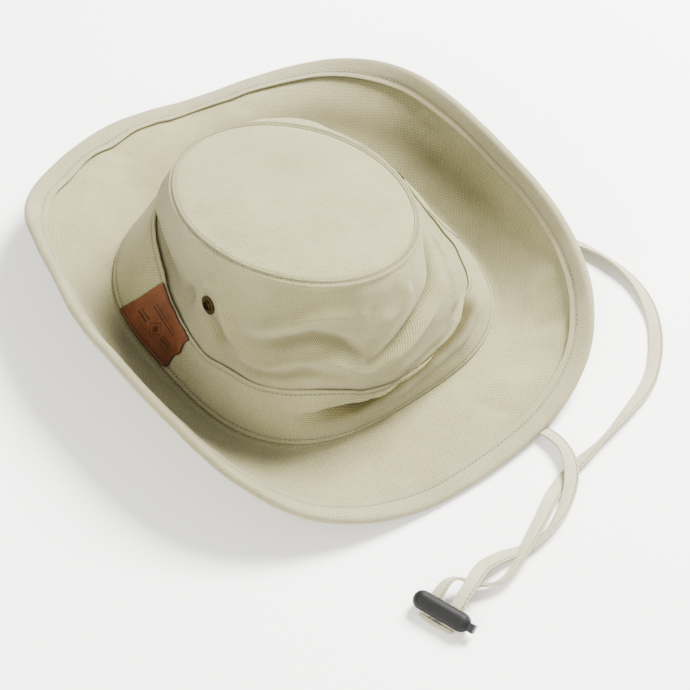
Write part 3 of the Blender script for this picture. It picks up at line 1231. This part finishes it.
def build_tape_end():
    """The two strands join behind the lock in one folded, rounded end."""
    spans = np.linspace(-1, 1, 40)
    loops = []
    for span in spans:
        bow = 0.0006 * (1 - span ** 2)
        pinch = math.sqrt(max(1 - span ** 6, 0.02))
        loop = []
        for angle in np.linspace(0, TAU, 28, endpoint=False):
            deep, up = math.cos(angle), math.sin(angle)
            square = max(abs(deep), abs(up)) ** 0.7
            slit = 1 - 0.3 * math.exp(-(angle - math.pi) ** 2 / 0.03)
            loop.append(np.array(in_lock(
                0.0103 * span, -0.0069 - bow + deep / square * 0.0013 * pinch * slit,
                up / square * 0.0012 * pinch)) / MM)
        loops.append(loop)
    loops = np.array(loops)
    around = loops.shape[1]
    faces = tube_faces(len(spans), around, False)
    faces = [face for face in faces if len(set(face)) == 4]
    uv = cloth_uv(spans[:, None] * 10.3, np.linspace(0, 11, around)[None, :])
    end = make_object("chin_tape_end_fold", loops.reshape(-1, 3), faces, tape_canvas, "hat",
                      uv.reshape(-1, 2), uv.reshape(-1, 2) * 0 + 3.0)
    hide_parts("chin_tape_end")
    return end


# =============================================================================================
# Hard parts that keep their solids
# =============================================================================================
def finish_solid(node, material):
    thing = frame["nodes"][node]
    if not thing.data.materials:
        thing.data.materials.append(material)
    for holder in thing.material_slots:
        holder.material = material


def build_hard_parts():
    for node in ("eyelet_right", "eyelet_right_washer", "eyelet_left", "eyelet_left_washer"):
        finish_solid(node, bronze)
    finish_solid("lock_housing", lock_plastic)
    finish_solid("lock_plunger", plunger_plastic)
    build_spring()


def build_spring():
    """The coil between the plunger's tail and the blind end of its bore, shut by the plunger."""
    turns, rings, sides = 4, 120, 8
    wire, radius, start, length = 0.00022, 0.0015, -0.01505, 0.0031
    loops = []
    for ring in range(rings):
        angle = TAU * turns * ring / (rings - 1)
        along = start + length * ring / (rings - 1)
        centre = in_lock(along, radius * math.cos(angle), radius * math.sin(angle))
        outward = (centre - in_lock(along, 0)).normalized()
        ring_points = []
        for side in range(sides):
            swing = TAU * side / sides
            away = outward * math.cos(swing) + LOCK_ALONG * math.sin(swing)
            ring_points.append(np.array(centre + away * wire) / MM)
        loops.append(ring_points)
    loops = np.array(loops)
    faces = [face for face in tube_faces(rings, sides, False) if len(set(face)) == 4]
    spring = make_object("lock_spring_coil", loops.reshape(-1, 3), faces, steel, "cord_lock")
    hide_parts("lock_spring")
    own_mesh(spring)


build_tape()
build_hard_parts()
build_wall()
build_tip()
build_band()
build_label()
build_sweatband()
build_plies()
build_binding()


# =============================================================================================
# Camera, floor and light
# =============================================================================================
def look_from(thing, place, target):
    direction = Vector(target) - Vector(place)
    thing.location = Vector(place)
    thing.rotation_euler = direction.to_track_quat("-Z", "Y").to_euler()


SENSOR_WIDTH = 36.0
FOCAL_LENGTH_PER_WIDTH = 3041.6 / 690
CAMERA_PLACE = (-0.6265, -0.8327, 1.2904)
CAMERA_TARGET = (-0.0102, -0.0438, 0.0084)
camera_data = bpy.data.cameras.new("camera")
camera = bpy.data.objects.new("camera", camera_data)
bpy.context.scene.collection.objects.link(camera)
camera_data.sensor_width = SENSOR_WIDTH
camera_data.lens = FOCAL_LENGTH_PER_WIDTH * SENSOR_WIDTH
camera_data.shift_x = 0.0033
camera_data.shift_y = -0.0023
look_from(camera, CAMERA_PLACE, CAMERA_TARGET)
bpy.context.scene.camera = camera

floor_mesh = bpy.data.meshes.new("floor")
floor_mesh.from_pydata([(-4, -4, 0), (4, -4, 0), (4, 4, 0), (-4, 4, 0)], [], [(0, 1, 2, 3)])
floor_graph = Graph("floor_white")
floor_graph.finish((0.94, 0.94, 0.94, 1), 0.9, floor_graph.bump(
    floor_graph.noise(floor_graph.object_place(), 40.0), 0.02, 0.0001), Specular_IOR_Level=0.1)
floor_mesh.materials.append(floor_graph.material)
floor = bpy.data.objects.new("floor", floor_mesh)
bpy.context.scene.collection.objects.link(floor)


def add_light(name, place, target, size, power, colour=(1, 1, 1)):
    lamp = bpy.data.lights.new(name, "AREA")
    lamp.shape = "SQUARE"
    lamp.size = size
    lamp.energy = power
    lamp.color = colour
    thing = bpy.data.objects.new(name, lamp)
    bpy.context.scene.collection.objects.link(thing)
    look_from(thing, place, target)


world = bpy.data.worlds.new("studio")
world.use_nodes = True
world.node_tree.nodes["Background"].inputs["Color"].default_value = (1.0, 1.0, 1.0, 1.0)
world.node_tree.nodes["Background"].inputs["Strength"].default_value = 1.0
bpy.context.scene.world = world
add_light("key", (1.2, 0.12, 1.35), (0, 0, 0.02), 0.75, 232.0, (1.0, 0.985, 0.95))
add_light("fill", (-1.3, -0.7, 1.0), (0, 0, 0.03), 1.0, 50.0, (1.0, 0.97, 0.86))
